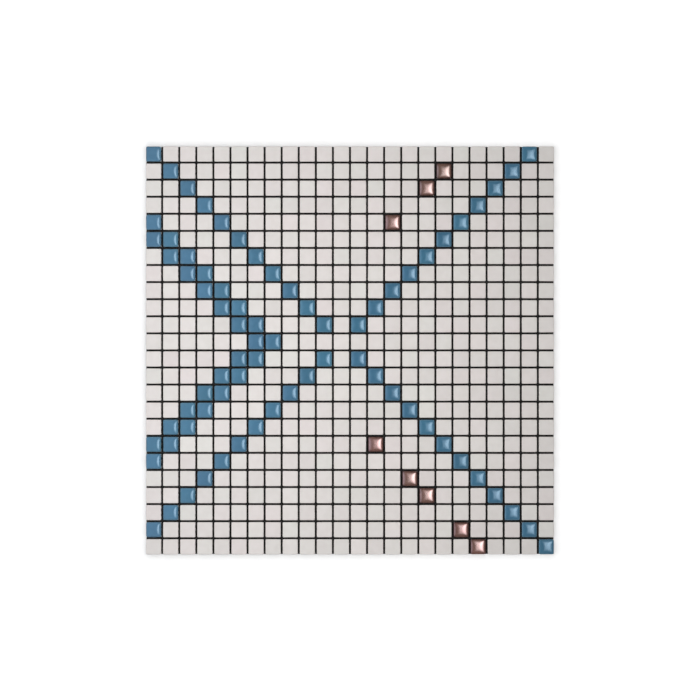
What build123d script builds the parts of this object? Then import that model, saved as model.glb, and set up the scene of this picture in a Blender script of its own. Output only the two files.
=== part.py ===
"""Ceramic mosaic sheet: small square tiles glued face up to an open backing net.

Millimetres, +Z up. The origin is on the underside of the net, at the middle of the sheet.
Rows run along X and are counted from the far edge (+Y), columns along Y from the left edge (-X).
"""

import os

from build123d import *

# The grid of tiles
COLUMNS = 24
ROWS = 24
TILE_SIDE = 11.1
JOINT = 1.4

# The body that every tile is pressed to: its flanks lean in towards the back, so that it leaves the die
FLANK_DRAFT_DEG = 1.5

# Matt white tile with a flat face and a small arris round it
FLAT_HEIGHT = 5.6
ARRIS = 0.35

# Glazed tile with a pillow face: level upper edges, round shoulders and a nearly flat crown
RIM_HEIGHT = 4.6
CROWN_RISE = 1.5
PILLOW_DEGREE = 8

# Backing net of flat strands, laid crosswise, with a strand under every joint
STRANDS_PER_TILE = 3
STRAND_WIDTH = 2.0
STRAND_THICKNESS = 0.3
NET_INSET = 0.1
GLUE_LINE = 0.05

# Pattern of crossing diagonals, all mirrored about one row
MIRROR_ROW = 11
SALTIRE_COLUMN = 11
CHEVRON_COLUMN = 7
CHEVRON_TILES_WIDE = 2
COPPER_ROWS = (1, 2, 4, 17, 19, 20, 22, 23)

# Worked out from the values above
PITCH = TILE_SIDE + JOINT
WIDTH = COLUMNS * PITCH - JOINT
DEPTH = ROWS * PITCH - JOINT
WEFT_BASE = STRAND_THICKNESS + GLUE_LINE
TILE_BASE = WEFT_BASE + STRAND_THICKNESS + GLUE_LINE

ON_ITS_BACK = (Align.CENTER, Align.CENTER, Align.MIN)


def drafted_block(height, widest_at):
    """A square block whose flanks lean in towards its back, at its full side where it is widest."""
    block = Box(TILE_SIDE, TILE_SIDE, height, align=ON_ITS_BACK)
    flanks = block.faces().filter_by(Axis.Z, reverse=True)
    return draft(flanks, Plane.XY.offset(widest_at), -FLANK_DRAFT_DEG)


def flat_tile():
    """A drafted block with an arris round its face."""
    block = drafted_block(FLAT_HEIGHT, widest_at=FLAT_HEIGHT - ARRIS)
    return chamfer(block.faces().sort_by(Axis.Z)[-1].edges(), ARRIS)


def pillow_face():
    """One square patch, level along its four edges, with all its inner control points lifted alike.

    The higher its degree, the flatter its crown and the rounder its shoulders.
    """
    crown_share = (1 - 2 ** (1 - PILLOW_DEGREE)) ** 2
    lift = CROWN_RISE / crown_share
    steps = range(PILLOW_DEGREE + 1)

    def control_point(i, j):
        inner = 0 < i < PILLOW_DEGREE and 0 < j < PILLOW_DEGREE
        x, y = ((k / PILLOW_DEGREE - 0.5) * TILE_SIDE for k in (i, j))
        return Vector(x, y, RIM_HEIGHT + (lift if inner else 0))

    return Face.make_bezier_surface([[control_point(i, j) for j in steps] for i in steps])


def pillow_tile():
    """A drafted block closed by the pillow face in place of its flat one."""
    block = drafted_block(RIM_HEIGHT, widest_at=RIM_HEIGHT)
    back_and_flanks = block.faces().sort_by(Axis.Z)[:-1]
    return Solid(Shell([pillow_face(), *back_and_flanks]))


def finish_of(row, column):
    """Which tile the pattern puts in this row and column: white, blue or copper."""
    steps_away = abs(row - MIRROR_ROW)
    on_saltire = abs(column - SALTIRE_COLUMN) == steps_away > 0
    on_chevron = 0 <= CHEVRON_COLUMN - steps_away - column < CHEVRON_TILES_WIDE
    if on_saltire or on_chevron:
        return "blue"
    if row in COPPER_ROWS and column == CHEVRON_COLUMN + steps_away:
        return "copper"
    return "white"


def tile_place(row, column):
    """Middle of a tile's back, on top of the net."""
    return Pos((column - (COLUMNS - 1) / 2) * PITCH, ((ROWS - 1) / 2 - row) * PITCH, TILE_BASE)


def laid_tiles():
    """Every tile in its place, gathered by finish."""
    shapes = {"white": flat_tile(), "blue": pillow_tile(), "copper": pillow_tile()}
    laid = {finish: [] for finish in shapes}
    for row in range(ROWS):
        for column in range(COLUMNS):
            finish = finish_of(row, column)
            laid[finish].append(tile_place(row, column) * shapes[finish])
    return laid


def strand_places(tiles):
    """Centre lines of the strands across so many tiles, evenly spaced, one of them under each joint."""
    return [(k / STRANDS_PER_TILE - tiles / 2) * PITCH for k in range(1, STRANDS_PER_TILE * tiles)]


def net_strands():
    """Lower strands along Y and upper strands along X, both stopping short of the sheet's edges."""
    warp = Box(STRAND_WIDTH, DEPTH - 2 * NET_INSET, STRAND_THICKNESS, align=ON_ITS_BACK)
    weft = Box(WIDTH - 2 * NET_INSET, STRAND_WIDTH, STRAND_THICKNESS, align=ON_ITS_BACK)
    return (
        [Pos(x, 0, 0) * warp for x in strand_places(COLUMNS)],
        [Pos(0, y, WEFT_BASE) * weft for y in strand_places(ROWS)],
    )


tiles = laid_tiles()
warp_strands, weft_strands = net_strands()
nodes = {
    "white_tiles": tiles["white"],
    "blue_tiles": tiles["blue"],
    "copper_tiles": tiles["copper"],
    "net_warp_strands": warp_strands,
    "net_weft_strands": weft_strands,
}

os.makedirs("parts", exist_ok=True)
for name, pieces in nodes.items():
    solids = [solid for piece in pieces for solid in piece.solids()]
    export_step(Compound(solids), f"parts/{name}.step")
    print(name, len(solids), "solids")
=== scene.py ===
import math

import bpy
import numpy as np
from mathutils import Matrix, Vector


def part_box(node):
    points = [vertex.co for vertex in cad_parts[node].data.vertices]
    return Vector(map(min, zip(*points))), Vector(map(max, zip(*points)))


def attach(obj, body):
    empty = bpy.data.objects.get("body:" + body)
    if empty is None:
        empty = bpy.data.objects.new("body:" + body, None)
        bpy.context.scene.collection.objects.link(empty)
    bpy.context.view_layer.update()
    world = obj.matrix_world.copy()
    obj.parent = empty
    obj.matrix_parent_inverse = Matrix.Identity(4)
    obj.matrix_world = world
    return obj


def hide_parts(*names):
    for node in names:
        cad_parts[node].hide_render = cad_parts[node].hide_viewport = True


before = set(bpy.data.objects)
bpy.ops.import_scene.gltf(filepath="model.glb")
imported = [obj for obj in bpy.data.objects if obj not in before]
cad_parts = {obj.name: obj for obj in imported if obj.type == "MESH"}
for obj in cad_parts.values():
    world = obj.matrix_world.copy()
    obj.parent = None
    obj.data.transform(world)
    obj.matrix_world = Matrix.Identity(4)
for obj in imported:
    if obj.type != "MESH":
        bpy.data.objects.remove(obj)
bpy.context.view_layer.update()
mm = 0.001  # the scene is in metres
print("frame loaded:", len(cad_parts), "nodes")

# the square grid that the tiles and the net share
sheet = {
    "tilesAcross": 24,
    "joint": 1.4 * mm,
    "strandsPerTile": 3,
    "seed": 24,
    "shift": 0.05 * mm,  # how far a tile may stray from its place
    "yaw": 0.2,  # degrees that it may stray round
    "tilt": 0.2,  # degrees that it may lean on its glue
}
tilesLow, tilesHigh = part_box("white_tiles")
pitch = (tilesHigh.x - tilesLow.x + sheet["joint"]) / sheet["tilesAcross"]
tileSide = pitch - sheet["joint"]
gridCorner = np.array(tilesLow)[:2] - sheet["joint"] / 2
draw = np.random.default_rng(sheet["seed"])


def tileMiddles(node):
    # a node's vertices fall into grid cells one pitch wide: each cell that holds any is a tile
    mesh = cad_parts[node].data
    corners = np.empty(len(mesh.vertices) * 3, np.float32)
    mesh.vertices.foreach_get("co", corners)
    cells = np.unique((corners.reshape(-1, 3)[:, :2] - gridCorner) // pitch, axis=0)
    return gridCorner + (cells + 0.5) * pitch


def spread(*shape):
    # random numbers from -1 to 1 that gather round nought
    return draw.standard_normal(shape).clip(-2, 2) / 2


def squircle(angles, power):
    # the outline |x|^p + |y|^p = 1 at these angles, and its outward slope: a square with round corners
    across, along = np.cos(angles), np.sin(angles)
    reach = (np.abs(across) ** power + np.abs(along) ** power) ** (-1 / power)
    outline = np.stack([across * reach, along * reach], axis=-1)
    outward = np.sign(outline) * np.abs(outline) ** (np.asarray(power)[..., None] - 1)
    return outline, outward


def unit(vectors):
    return vectors / np.linalg.norm(vectors, axis=-1, keepdims=True)


def addMesh(name, points, faces, normals=None, layers=None):
    # faces: a list of index arrays, one for each number of corners
    loops = np.concatenate([block.ravel() for block in faces])
    sizes = np.concatenate([np.full(len(block), block.shape[1]) for block in faces])
    mesh = bpy.data.meshes.new(name)
    mesh.vertices.add(len(points))
    mesh.vertices.foreach_set("co", points.astype(np.float32).ravel())
    mesh.loops.add(len(loops))
    mesh.loops.foreach_set("vertex_index", loops.astype(np.int32))
    mesh.polygons.add(len(sizes))
    mesh.polygons.foreach_set("loop_start", (np.cumsum(sizes) - sizes).astype(np.int32))
    mesh.polygons.foreach_set("use_smooth", np.ones(len(sizes), bool))
    mesh.update(calc_edges=True)
    mesh.validate()
    for layer, values in (layers or {}).items():
        kind, field = ("FLOAT", "value") if values.ndim == 1 else ("FLOAT_COLOR", "color")
        data = mesh.attributes.new(layer, kind, "POINT").data
        data.foreach_set(field, values.astype(np.float32).ravel())
    if normals is not None:
        mesh.normals_split_custom_set_from_vertices(normals.reshape(-1, 3))
    piece = bpy.data.objects.new(name, mesh)
    bpy.context.scene.collection.objects.link(piece)
    return piece


def cappedFaces(rows, columns):
    # quads between each ring of points and the next, and one flat face over each end
    row, column = np.meshgrid(np.arange(rows - 1), np.arange(columns), indexing="ij")
    here, beside = row * columns + column, row * columns + (column + 1) % columns
    quads = np.stack([here, beside, beside + columns, here + columns], axis=-1).reshape(-1, 4)
    last = (rows - 1) * columns + np.arange(columns)
    return [quads, np.stack([np.arange(columns)[::-1], last])]


def repeated(faces, copies, pointsEach):
    # the same faces for every copy of a shape
    step = np.arange(copies)[:, None, None] * pointsEach
    return [(block[None] + step).reshape(-1, block.shape[1]) for block in faces]


def layTiles(name, node, form):
    # one tile's rings of points, turned a little and moved to every place that its node holds
    rings, normals, rim = form
    around = rings.shape[1]
    points = rings.reshape(-1, 3)
    middles = tileMiddles(node)
    count = len(middles)
    yaw = np.radians(sheet["yaw"]) * spread(count)
    lean = np.radians(sheet["tilt"]) * spread(count, 2)
    shift = sheet["shift"] * spread(count, 2)
    tone = np.ones((count, 4))
    tone[:, :3] = 0.5 + spread(count, 3) / 2
    turn = np.zeros((count, 3, 3))
    turn[:, 0, 0] = turn[:, 1, 1] = np.cos(yaw)
    turn[:, 1, 0], turn[:, 0, 1] = np.sin(yaw), -np.sin(yaw)
    turn[:, :2, 2], turn[:, 2, :2], turn[:, 2, 2] = lean, -lean, 1
    place = np.concatenate([middles + shift, np.full((count, 1), tilesLow.z)], 1)
    laid = np.einsum("tij,vj->tvi", turn, points) + place[:, None]
    facing = np.einsum("tij,vj->tvi", turn, normals.reshape(-1, 3))
    layers = {
        "rim": np.tile(np.repeat(rim, around), count),
        "tileTone": np.repeat(tone, len(points), axis=0),
    }
    faces = repeated(cappedFaces(len(rings), around), count, len(points))
    piece = addMesh(name, laid.reshape(-1, 3), faces, facing, layers)
    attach(piece, "root")
    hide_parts(node)
    print(name, "laid:", count, "tiles")
    return piece


# the flat white tile
flatTile = {
    "height": 5.6 * mm,
    "arris": 0.45 * mm,  # radius between face and flank
    "foot": 0.2 * mm,  # chamfer round the back
    "draft": 1.5,  # degrees that the flanks lean in towards the back
    "cornerPower": 24,  # higher is squarer
    "cornerSpread": 5,  # degrees each side of a corner that its rounding takes up
    "arrisRings": 4,
}


def flatTileForm(spec):
    # rings from back to face; the arris is a quarter round: inset r(1 - cos), drop r(1 - sin)
    arris, foot, height = spec["arris"], spec["foot"], spec["height"]
    leanIn = (height - arris) * math.tan(math.radians(spec["draft"]))
    up = np.radians([-90, 0, *np.linspace(0, 90, spec["arrisRings"])])  # how far each ring's normal points up
    inset = arris * (1 - np.cos(up))
    inset[:2] = leanIn + foot, leanIn
    level = height - arris * (1 - np.sin(up))
    level[:2] = 0, foot
    corners = np.radians([45, 135, 225, 315])[:, None]
    angles = corners + np.radians(spec["cornerSpread"]) * np.array([-1, 0, 1])
    outline, outward = squircle(angles.ravel(), spec["cornerPower"])
    rings = np.zeros((len(up), len(outline), 3))
    rings[..., :2] = (tileSide / 2 - inset)[:, None, None] * outline
    rings[..., 2] = level[:, None]
    normals = np.zeros_like(rings)
    normals[..., :2] = np.cos(up)[:, None, None] * unit(outward)
    normals[..., 2] = np.sin(up)[:, None]
    return rings, normals, np.cos(up.clip(0))


whiteTiles = layTiles("whiteTiles", "white_tiles", flatTileForm(flatTile))


# the pillow tile, for both glossy glazes
pillowTile = {
    "rimHeight": 4.6 * mm,
    "crown": 1.5 * mm,  # rise of the middle over the rim
    "fullness": 2.7,  # higher is flatter on top
    "roundness": 2.45,  # higher is rounder at the shoulder
    "rimPower": 16,  # squareness of the outline
    "crownPower": 2.9,  # squareness at the middle of the crown
    "squaring": 4.2,  # higher keeps the rings round until nearer the rim
    "foot": 0.2 * mm,
    "draft": 1.5,
    "around": 40,  # points in a ring
    "rings": 11,
    "crownEnd": 0.06,  # radians of the sweep to the crown that a flat face in the middle takes up
}


def pillowTileForm(spec):
    # rounded squares of size r, from 1 at the rim to nearly 0 at the crown, each at the height
    # rim + crown * (1 - r^fullness)^(1 / roundness); below the rim are the flank and the foot;
    # the power p of a square climbs with r^squaring, and so the slope is that of a fixed p divided
    # by 1 - (r * dp/dr / p) * sum(o^p * ln o), where o is how far the outline reaches along each axis
    full, soft, half = spec["fullness"], 1 / spec["roundness"], tileSide / 2
    swing = np.linspace(math.pi / 2, spec["crownEnd"], spec["rings"])
    r = np.sin(swing) ** (2 / full)
    left = (np.cos(swing) ** 2).clip(1e-5)  # what 1 - r^fullness leaves
    steep = spec["crown"] / half * full * soft * r ** (full - 1) * left ** (soft - 1)
    climb = (spec["rimPower"] - spec["crownPower"]) * r ** spec["squaring"]
    growth = np.pad(spec["squaring"] * climb / (spec["crownPower"] + climb), (2, 0))
    power = np.pad(spec["crownPower"] + climb, (2, 0), "edge")[:, None]
    leanIn = spec["rimHeight"] * math.tan(math.radians(spec["draft"]))
    size = np.concatenate([1 - np.array([leanIn + spec["foot"], leanIn]) / half, r])
    dome = spec["rimHeight"] + spec["crown"] * np.cos(swing) ** (2 * soft)
    level = np.concatenate([[0, spec["foot"]], dome])
    angles = np.arange(spec["around"]) * 2 * np.pi / spec["around"]
    outline, outward = squircle(angles, power)
    reach = np.abs(outline).clip(1e-9)
    ease = 1 - growth[:, None] * (reach ** power[..., None] * np.log(reach)).sum(-1)
    rings = np.zeros((len(size), len(angles), 3))
    rings[..., :2] = half * size[:, None, None] * outline
    rings[..., 2] = level[:, None]
    normals = np.ones_like(rings)
    normals[..., :2] = (np.pad(steep, (2, 0), "edge")[:, None] / ease)[..., None] * outward
    normals[0] = 0, 0, -1
    return rings, unit(normals), np.concatenate([[1, 1], r])


pillowForm = pillowTileForm(pillowTile)
blueTiles = layTiles("blueTiles", "blue_tiles", pillowForm)
copperTiles = layTiles("copperTiles", "copper_tiles", pillowForm)


# the backing net: flat rovings along the rows, each held between a wide yarn below and a narrow one above
net = {
    "underWidth": 1.95 * mm,
    "underSway": 0.04 * mm,  # how far a yarn swings to each side
    "overWidth": 0.7 * mm,
    "overSway": 0.35 * mm,
    "yarnThickness": 0.2 * mm,
    "dip": 0.1 * mm,  # how far the upper yarn drops between two rovings
    "rovingWidth": 1.95 * mm,
    "rovingThickness": 0.18 * mm,
    "glue": 0.02 * mm,  # left between the upper yarn and the tiles
    "stepsPerRoving": 3,
    "yarnSides": 5,
    "rovingSides": 6,
}
warpLow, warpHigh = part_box("net_warp_strands")
weftLow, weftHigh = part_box("net_weft_strands")
strandPitch = pitch / sheet["strandsPerTile"]
strandCount = sheet["tilesAcross"] * sheet["strandsPerTile"] - 1
strandPlaces = (np.arange(strandCount) - (strandCount - 1) / 2) * strandPitch
alongX, alongY, alongZ = np.eye(3)


def ribbons(name, node, paths, across, width, thickness, sides):
    # an oval carried along each path: path + across * width / 2 * cos + up * thickness / 2 * sin
    turn = np.arange(sides) * 2 * np.pi / sides
    oval = np.outer(np.cos(turn) * width / 2, across) + np.outer(np.sin(turn) * thickness / 2, alongZ)
    strands, steps = paths.shape[:2]
    points = paths[:, :, None] + oval
    faces = repeated(cappedFaces(steps, sides), strands, steps * sides)
    if across[0]:
        faces = [block[:, ::-1] for block in faces]  # along Y the same order would face inwards
    fibre = np.tile(turn / (2 * np.pi), strands * steps)
    piece = addMesh(name, points.reshape(-1, 3), faces, None, {"fibre": fibre})
    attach(piece, "root")
    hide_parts(node)
    print(name, "made:", strands, "strands")
    return piece


def yarnPaths(sway, level, dip):
    # x swings as sway * cos(pi * t), t counting rovings; z dips half way from one roving to the next
    steps = round((warpHigh.y - warpLow.y) / strandPitch) * net["stepsPerRoving"] + 1
    y = np.linspace(warpLow.y, warpHigh.y, steps)
    t = y / strandPitch
    x = strandPlaces[:, None] + sway * np.cos(np.pi * t)
    z = level - dip * (1 - np.cos(2 * np.pi * t)) / 2
    return np.stack(np.broadcast_arrays(x, y, z), -1)


def rovingPaths(level):
    # straight and level, with two points to a yarn
    x = np.linspace(weftLow.x, weftHigh.x, 2 * strandCount)
    return np.stack(np.broadcast_arrays(x, strandPlaces[:, None], level), -1)


yarnLow = net["yarnThickness"] / 2
yarnHigh = weftHigh.z - net["glue"] - net["yarnThickness"] / 2
warpUnder = ribbons(
    "warpYarnsUnder",
    "net_warp_strands",
    yarnPaths(-net["underSway"], yarnLow, 0),
    alongX,
    net["underWidth"],
    net["yarnThickness"],
    net["yarnSides"],
)
warpOver = ribbons(
    "warpYarnsOver",
    "net_warp_strands",
    yarnPaths(net["overSway"], yarnHigh, net["dip"]),
    alongX,
    net["overWidth"],
    net["yarnThickness"],
    net["yarnSides"],
)
weft = ribbons(
    "weftRovings",
    "net_weft_strands",
    rovingPaths((yarnLow + yarnHigh) / 2),
    alongY,
    net["rovingWidth"],
    net["rovingThickness"],
    net["rovingSides"],
)


# what the finishes share
noiseRange = 0.3, 0.7  # most of a noise lies between these
glazeIor = 1.52
clayRoughness = 0.75  # of the bare body below the glaze
bumpDepth = 0.05 * mm


def setInputs(tree, node, inputs):
    for socket, value in (inputs or {}).items():
        if isinstance(value, bpy.types.NodeSocket):
            tree.links.new(value, node.inputs[socket])
        else:
            node.inputs[socket].default_value = value
    return node


def addNode(tree, kind, inputs=None, **settings):
    node = tree.nodes.new(kind)
    for name, value in settings.items():
        setattr(node, name, value)
    return setInputs(tree, node, inputs)


def newGroup(name, inputs, outputs):
    group = bpy.data.node_groups.new(name, "ShaderNodeTree")
    for socket, kind, value in inputs:
        group.interface.new_socket(socket, in_out="INPUT", socket_type=kind).default_value = value
    for socket, kind in outputs:
        group.interface.new_socket(socket, in_out="OUTPUT", socket_type=kind)
    return group, group.nodes.new("NodeGroupInput").outputs, group.nodes.new("NodeGroupOutput").inputs


def useGroup(tree, group, **inputs):
    return addNode(tree, "ShaderNodeGroup", inputs, node_tree=group).outputs


def mathNode(tree, operation, first, second):
    return addNode(tree, "ShaderNodeMath", {0: first, 1: second}, operation=operation).outputs[0]


def mixColour(tree, factor, first, second, blend="MIX"):
    # sockets 0, 6 and 7 are the factor and the two colours
    inputs = {0: factor, 6: first, 7: second}
    return addNode(tree, "ShaderNodeMix", inputs, data_type="RGBA", blend_type=blend).outputs[2]


def remap(tree, value, fromLow, fromHigh, toLow, toHigh):
    inputs = {"Value": value, "From Min": fromLow, "From Max": fromHigh, "To Min": toLow, "To Max": toHigh}
    node = addNode(tree, "ShaderNodeMapRange", None, interpolation_type="SMOOTHSTEP")
    return setInputs(tree, node, inputs).outputs[0]


def objectNoise(tree, scale, detail=3.0):
    place = addNode(tree, "ShaderNodeTexCoord").outputs["Object"]
    return addNode(tree, "ShaderNodeTexNoise", {"Vector": place, "Scale": scale, "Detail": detail}).outputs[0]


def stretched(tree, noise, low=0.0, high=1.0):
    return remap(tree, noise, *noiseRange, low, high)


def attribute(tree, name, output="Fac"):
    return addNode(tree, "ShaderNodeAttribute", None, attribute_name=name).outputs[output]


def bump(tree, shader, height, strength):
    node = addNode(tree, "ShaderNodeBump", {"Height": height, "Strength": strength, "Distance": bumpDepth})
    tree.links.new(node.outputs[0], shader.inputs["Normal"])


def newMaterial(name, **fixed):
    material = bpy.data.materials.new(name)
    material.use_nodes = True
    shader = material.node_tree.nodes["Principled BSDF"]
    setInputs(material.node_tree, shader, fixed)
    return material, material.node_tree, shader


# bare pressed body; the scale of a noise is in spans to the metre, here and below
clayBody = {
    "colour": (0.6, 0.55, 0.49, 1),
    "grain": 1800.0,
    "grainShades": (0.9, 1.06),
    "cloudScale": 260.0,
    "cloudShades": (-0.04, 0.04),
}


def firedClay(spec):
    # fine grog specks, faint clouds and a gritty skin
    group, given, out = newGroup(
        "firedClay",
        [("Colour", "NodeSocketColor", spec["colour"]), ("Grain", "NodeSocketFloat", spec["grain"])],
        [("Colour", "NodeSocketColor"), ("Height", "NodeSocketFloat")],
    )
    grit = objectNoise(group, given["Grain"], detail=4.0)
    cloud = stretched(group, objectNoise(group, spec["cloudScale"]), *spec["cloudShades"])
    shade = mathNode(group, "ADD", stretched(group, grit, *spec["grainShades"]), cloud)
    grey = addNode(group, "ShaderNodeCombineColor", {0: shade, 1: shade, 2: shade}).outputs[0]
    group.links.new(mixColour(group, 1.0, given["Colour"], grey, "MULTIPLY"), out["Colour"])
    group.links.new(grit, out["Height"])
    return group


# where the glaze ends on the flanks, and the ragged band along the rim: thin glaze on the blue, painted shade
# on the copper
glazeBorder = {
    "waveScale": 380.0,
    "blur": 0.15,  # mm each side of the line
    "raggedScale": 700.0,
    "ragged": 0.2,
}


def glazeCover(spec):
    # one on the glazed face and upper flanks, nought below a wavering line on the flanks
    group, given, out = newGroup(
        "glazeCover",
        [("Line", "NodeSocketFloat", 3.0), ("Waver", "NodeSocketFloat", 1.0)],
        [("Cover", "NodeSocketFloat")],
    )
    place = addNode(group, "ShaderNodeTexCoord").outputs["Object"]
    height = addNode(group, "ShaderNodeSeparateXYZ", {0: place}).outputs["Z"]
    inMm = mathNode(group, "MULTIPLY", height, 1 / mm)
    wave = mathNode(group, "SUBTRACT", objectNoise(group, spec["waveScale"]), 0.5)
    sway = mathNode(group, "MULTIPLY", wave, given["Waver"])
    over = mathNode(group, "SUBTRACT", mathNode(group, "ADD", inMm, sway), given["Line"])
    group.links.new(remap(group, over, -spec["blur"], spec["blur"], 0.0, 1.0), out["Cover"])
    return group


def tileTint():
    # each tile's own shade: lighter or darker, and a little to pink or to green
    group, given, out = newGroup(
        "tileTint",
        [
            ("Colour", "NodeSocketColor", (0.5, 0.5, 0.5, 1)),
            ("Light", "NodeSocketFloat", 0.05),
            ("Tint", "NodeSocketFloat", 0.03),
        ],
        [("Colour", "NodeSocketColor")],
    )
    tone = attribute(group, "tileTone", "Color")
    parts = addNode(group, "ShaderNodeSeparateColor", {0: tone}).outputs
    light = mathNode(group, "MULTIPLY", mathNode(group, "SUBTRACT", parts[0], 0.5), given["Light"])
    hue = mathNode(group, "MULTIPLY", mathNode(group, "SUBTRACT", parts[1], 0.5), given["Tint"])
    level = mathNode(group, "ADD", light, 1.0)
    channels = {0: mathNode(group, "ADD", level, hue), 1: mathNode(group, "SUBTRACT", level, hue), 2: level}
    factor = addNode(group, "ShaderNodeCombineColor", channels).outputs[0]
    group.links.new(mixColour(group, 1.0, given["Colour"], factor, "MULTIPLY"), out["Colour"])
    return group


def glazeEdge(spec):
    # one in a ragged band along the rim: where the blue glaze has drawn thin, and where the copper gets its
    # painted shade
    group, given, out = newGroup(
        "glazeEdge",
        [
            ("Start", "NodeSocketFloat", 0.8),
            ("End", "NodeSocketFloat", 1.0),
            ("Ragged", "NodeSocketFloat", spec["ragged"]),
        ],
        [("ThinGlazeAndShade", "NodeSocketFloat")],
    )
    wave = mathNode(group, "SUBTRACT", objectNoise(group, spec["raggedScale"]), 0.5)
    stray = mathNode(group, "MULTIPLY", wave, given["Ragged"])
    rim = mathNode(group, "ADD", attribute(group, "rim"), stray)
    group.links.new(remap(group, rim, given["Start"], given["End"], 0.0, 1.0), out["ThinGlazeAndShade"])
    return group


clay, tint = firedClay(clayBody), tileTint()
cover, edge = glazeCover(glazeBorder), glazeEdge(glazeBorder)


def glazeOver(tree, shader, spec, face, body):
    # the face's colour in each tile's own shade down to the glaze's line, and the bare body below it
    tinted = useGroup(tree, tint, Colour=face, Light=spec["light"], Tint=spec["tint"])["Colour"]
    mask = useGroup(tree, cover, Line=spec["glazeLine"], Waver=spec["waver"])["Cover"]
    tree.links.new(mixColour(tree, mask, body["Colour"], tinted), shader.inputs["Base Color"])
    return mask


def pillowFace(tree, spec, cloud, low, high, rim):
    # two shades in soft clouds, and a third along the rim: thin glaze on the blue, painted shade on the
    # copper
    thin = useGroup(tree, edge, Start=spec["rimFrom"], End=spec["rimTo"])["ThinGlazeAndShade"]
    return mixColour(tree, thin, mixColour(tree, stretched(tree, cloud), low, high), rim)


def glossSkin(tree, shader, spec, mask):
    # smooth and a little rippled where the glaze is, rough on the bare body
    tree.links.new(remap(tree, mask, 0.0, 1.0, clayRoughness, spec["gloss"]), shader.inputs["Roughness"])
    bump(tree, shader, objectNoise(tree, spec["rippleScale"], detail=1.5), spec["ripple"])


# matt white tile: a thin matt glaze over the pressed body
whiteFinish = {
    "pale": (0.735, 0.688, 0.659, 1),
    "warm": (0.71, 0.662, 0.631, 1),
    "body": (0.62, 0.58, 0.53, 1),
    "light": 0.08,  # how much the tiles differ in lightness
    "tint": 0.03,  # and in tint
    "glazeLine": 2.2,  # mm over the floor where the glaze ends
    "waver": 1.6,  # mm that a noise from nought to one moves this line
    "cloudScale": 170.0,
    "roughScale": 900.0,
    "roughness": (0.5, 0.62),
    "grit": 0.12,
}


def mattWhite(spec):
    material, tree, shader = newMaterial("mattWhiteGlaze", **{"IOR": 1.5, "Specular IOR Level": 0.3})
    body = useGroup(tree, clay, Colour=spec["body"])
    cloud = stretched(tree, objectNoise(tree, spec["cloudScale"], detail=1.0))
    face = mixColour(tree, cloud, spec["warm"], spec["pale"])
    glazeOver(tree, shader, spec, face, body)
    rough = stretched(tree, objectNoise(tree, spec["roughScale"]), *spec["roughness"])
    tree.links.new(rough, shader.inputs["Roughness"])
    bump(tree, shader, body["Height"], spec["grit"])
    return material


# blue tile: a glossy glaze that pools a little, and is paler where it has drawn thin along the rim
blueFinish = {
    "deep": (0.042, 0.144, 0.242, 1),
    "pooled": (0.047, 0.156, 0.255, 1),
    "thin": (0.078, 0.178, 0.258, 1),
    "rimFrom": 0.8,  # share of the way out where the thin rim starts
    "rimTo": 1.0,
    "light": 0.2,
    "tint": 0.08,
    "glazeLine": 3.0,
    "waver": 2.0,
    "gloss": 0.05,  # roughness of the glaze
    "poolScale": 240.0,
    "rippleScale": 330.0,
    "ripple": 0.06,
}


def blueGlaze(spec):
    material, tree, shader = newMaterial("blueGlossGlaze", IOR=glazeIor)
    pool = objectNoise(tree, spec["poolScale"], detail=2.0)
    face = pillowFace(tree, spec, pool, spec["deep"], spec["pooled"], spec["thin"])
    mask = glazeOver(tree, shader, spec, face, useGroup(tree, clay))
    glossSkin(tree, shader, spec, mask)
    return material


# copper tile: a metal lustre over the same glaze, with painted shade darkening it along the rim
copperFinish = {
    "red": (0.314, 0.166, 0.133, 1),
    "brown": (0.294, 0.165, 0.134, 1),
    # painted shade: the steep rim drawn dark, as where it mirrors dim surroundings
    "paintedRimShade": (0.085, 0.044, 0.038, 1),
    "rimFrom": 0.74,
    "rimTo": 1.0,
    "light": 0.2,
    "tint": 0.06,
    "glazeLine": 3.0,
    "waver": 2.0,
    "metal": 0.9,
    "gloss": 0.19,
    "filmScale": 300.0,
    "rippleScale": 360.0,
    "ripple": 0.1,
}


def copperLustre(spec):
    material, tree, shader = newMaterial("copperLustreGlaze", IOR=glazeIor)
    film = objectNoise(tree, spec["filmScale"])
    face = pillowFace(tree, spec, film, spec["red"], spec["brown"], spec["paintedRimShade"])
    mask = glazeOver(tree, shader, spec, face, useGroup(tree, clay))
    tree.links.new(remap(tree, mask, 0.0, 1.0, 0.0, spec["metal"]), shader.inputs["Metallic"])
    glossSkin(tree, shader, spec, mask)
    return material


# net: dark coated glass; its darkness is also painted shade for the deep joints above it
yarnFinish = {
    # painted shade: the yarn's near-black stands for the shade deep in the joints
    "low": (0.02, 0.019, 0.018, 1),
    "high": (0.042, 0.039, 0.037, 1),
    "fleck": (0.1, 0.094, 0.09, 1),
    "fleckScale": 1500.0,
    "fleckRange": (0.5, 0.75),  # the noise between no fleck and a full one
    "streaks": 40.0,  # noise spans round a strand
    "relief": 0.5,
}


def netYarn(spec):
    material, tree, shader = newMaterial("darkYarnAndJointShade", **{"Roughness": 0.7, "Specular IOR Level": 0.1})
    lines = addNode(tree, "ShaderNodeTexNoise", None, noise_dimensions="1D")
    inputs = {"Scale": spec["streaks"], "Detail": 2.0, "W": attribute(tree, "fibre")}
    streak = setInputs(tree, lines, inputs).outputs[0]
    fleck = remap(tree, objectNoise(tree, spec["fleckScale"], detail=2.0), *spec["fleckRange"], 0.0, 1.0)
    plain = mixColour(tree, stretched(tree, streak), spec["low"], spec["high"])
    tree.links.new(mixColour(tree, fleck, plain, spec["fleck"]), shader.inputs["Base Color"])
    bump(tree, shader, streak, spec["relief"])
    return material


whiteTiles.data.materials.append(mattWhite(whiteFinish))
blueTiles.data.materials.append(blueGlaze(blueFinish))
copperTiles.data.materials.append(copperLustre(copperFinish))
yarnAndJointShade = netYarn(yarnFinish)
for strands in (warpUnder, warpOver, weft):
    strands.data.materials.append(yarnAndJointShade)
print("finishes made")


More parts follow.
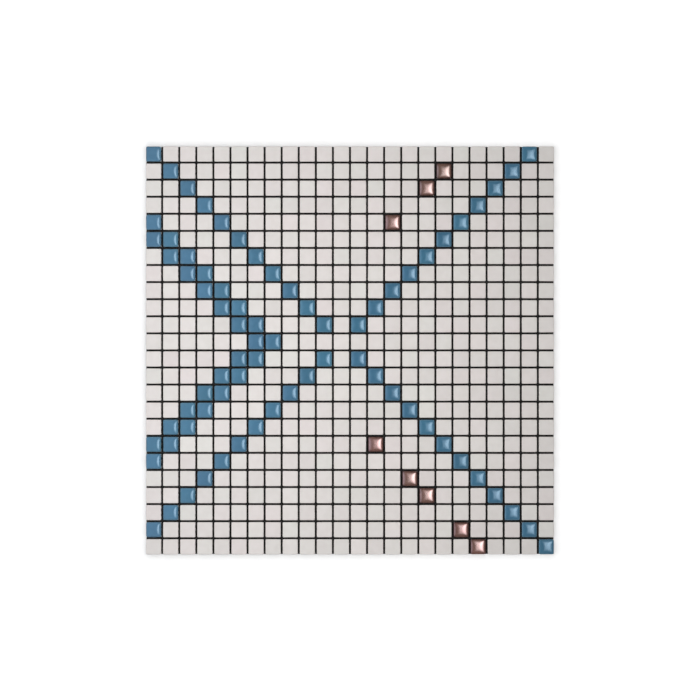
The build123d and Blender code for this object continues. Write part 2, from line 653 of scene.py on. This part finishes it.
# floor, light and camera
studio = {
    "floorHalf": 30.0,
    "floorWhite": 0.85,
    "floorRoughness": 0.9,
    "floorSeen": 1.04,  # what the camera, mirrors and glass see of the floor where no shadow falls
    "pool": 0.644,  # the fill's light on the floor under it
    "poolReach": 0.47,  # how far that light spreads
    "worldGrey": 0.4,
    "wallSeen": 1.0,  # what the camera, mirrors and glass see of the pale walls round the floor
    "wallFades": (0.15, 0.9),  # sines of the angles over the floor between which they dim to the grey
    "cameraPlace": (0.0, 0.3 * mm, 4.0),
    "viewHalf": 256.13 * mm,  # half of what the picture spans at the tiles' faces
}
# the lamps hang level and shine down: the glazes mirror the softbox and the panel, the fill lights the sheet
softbox = {
    "place": (0.56, 0.0, 1.89),
    "size": (1.1, 1.5),
    "fades": ((0.27, 0.61), (0.66, 0.66)),  # widths over which it dims at its edges: -X, +X, -Y, +Y
    "radiance": 9.4,
    "colour": (0.62, 0.83, 1.0),
    "mirrored": True,
}
panel = {
    "place": (-0.35, 0.0, 0.257),
    "size": (0.7, 1.0),
    "fades": ((0.2, 0.15), (0.2, 0.2)),
    "radiance": 1.68,
    "colour": (0.46, 0.685, 1.0),
    "mirrored": True,
}
fill = {
    "place": (-0.095, 0.006, 0.335),
    "size": (0.5, 0.5),
    "fades": None,
    "radiance": 1.52,
    "colour": (1.0, 1.0, 1.0),
    "mirrored": False,
}


def seenRays(tree):
    # one for the rays by which the camera sees a thing: straight, in mirrors or through glass
    rays = addNode(tree, "ShaderNodeLightPath").outputs
    seen = mathNode(tree, "ADD", rays["Is Camera Ray"], rays["Is Glossy Ray"])
    return mathNode(tree, "ADD", seen, rays["Is Transmission Ray"])


def addFloor():
    half, white = studio["floorHalf"], studio["floorWhite"]
    corners = half * np.array([[-1.0, -1, 0], [1, -1, 0], [1, 1, 0], [-1, 1, 0]])
    floor = addMesh("floor", corners, [np.array([[0, 1, 2, 3]])])
    material, tree, shader = newMaterial("paleFloor", Roughness=studio["floorRoughness"])
    setInputs(tree, shader, {"Base Color": (white, white, white, 1), "Emission Color": (1, 1, 1, 1)})
    # it glows by what is seen less white * (world + pool / (1 + (d / reach)^2)^2), d from the fill's foot
    place = addNode(tree, "ShaderNodeTexCoord").outputs["Object"]
    foot = (*fill["place"][:2], 0.0)
    away = addNode(tree, "ShaderNodeVectorMath", {0: place, 1: foot}, operation="DISTANCE").outputs["Value"]
    square = mathNode(tree, "POWER", mathNode(tree, "DIVIDE", away, studio["poolReach"]), 2.0)
    thinned = mathNode(tree, "POWER", mathNode(tree, "ADD", square, 1.0), -2.0)
    lit = mathNode(tree, "ADD", mathNode(tree, "MULTIPLY", thinned, studio["pool"]), studio["worldGrey"])
    lift = mathNode(tree, "SUBTRACT", studio["floorSeen"], mathNode(tree, "MULTIPLY", lit, white))
    tree.links.new(mathNode(tree, "MULTIPLY", seenRays(tree), lift), shader.inputs["Emission Strength"])
    floor.data.materials.append(material)


def dimEdges(lamp, spec):
    # from each edge inwards the glow climbs evenly from nought, over the width given for that edge
    lamp.use_nodes = True
    tree = lamp.node_tree
    place = addNode(tree, "ShaderNodeNewGeometry").outputs["Position"]
    axes = addNode(tree, "ShaderNodeSeparateXYZ", {0: place}).outputs
    glow = 1.0
    for axis, middle, side, fades in zip(axes, spec["place"], spec["size"], spec["fades"]):
        for sign, fade in zip((-1, 1), fades):
            border = middle + sign * side / 2
            climb = {"Value": axis, "From Min": border, "From Max": border - sign * fade}
            glow = mathNode(tree, "MULTIPLY", glow, addNode(tree, "ShaderNodeMapRange", climb).outputs[0])
    tree.links.new(glow, tree.nodes["Emission"].inputs["Strength"])


def addLamp(name, spec):
    lamp = bpy.data.lights.new(name, "AREA")
    lamp.shape = "RECTANGLE"
    lamp.size, lamp.size_y = spec["size"]
    lamp.energy = spec["radiance"] * math.pi * lamp.size * lamp.size_y
    lamp.color = spec["colour"]
    if spec["fades"]:
        dimEdges(lamp, spec)
    holder = bpy.data.objects.new(name, lamp)
    bpy.context.scene.collection.objects.link(holder)
    holder.location = spec["place"]
    holder.visible_camera = False
    holder.visible_glossy = spec["mirrored"]
    holder.visible_diffuse = not spec["mirrored"]


def addWorld():
    # an even grey, but what is seen of it climbs to the walls' level towards the floor
    world = bpy.data.worlds.new("studio")
    world.use_nodes = True
    tree = world.node_tree
    way = addNode(tree, "ShaderNodeTexCoord").outputs["Generated"]
    rise = addNode(tree, "ShaderNodeSeparateXYZ", {0: way}).outputs["Z"]
    more = remap(tree, rise, *studio["wallFades"], studio["wallSeen"] - studio["worldGrey"], 0.0)
    level = mathNode(tree, "ADD", mathNode(tree, "MULTIPLY", seenRays(tree), more), studio["worldGrey"])
    setInputs(tree, tree.nodes["Background"], {"Color": (1, 1, 1, 1), "Strength": level})
    bpy.context.scene.world = world


def addCamera():
    lens = bpy.data.cameras.new("camera")
    lens.lens = lens.sensor_width / 2 * (studio["cameraPlace"][2] - tilesHigh.z) / studio["viewHalf"]
    lens.clip_end = 4 * studio["floorHalf"]
    camera = bpy.data.objects.new("camera", lens)
    camera.location = studio["cameraPlace"]
    bpy.context.scene.collection.objects.link(camera)
    bpy.context.scene.camera = camera


addFloor()
addLamp("softbox", softbox)
addLamp("panel", panel)
addLamp("fill", fill)
addWorld()
addCamera()
bpy.context.scene.view_settings.view_transform = "Standard"
print("studio set")
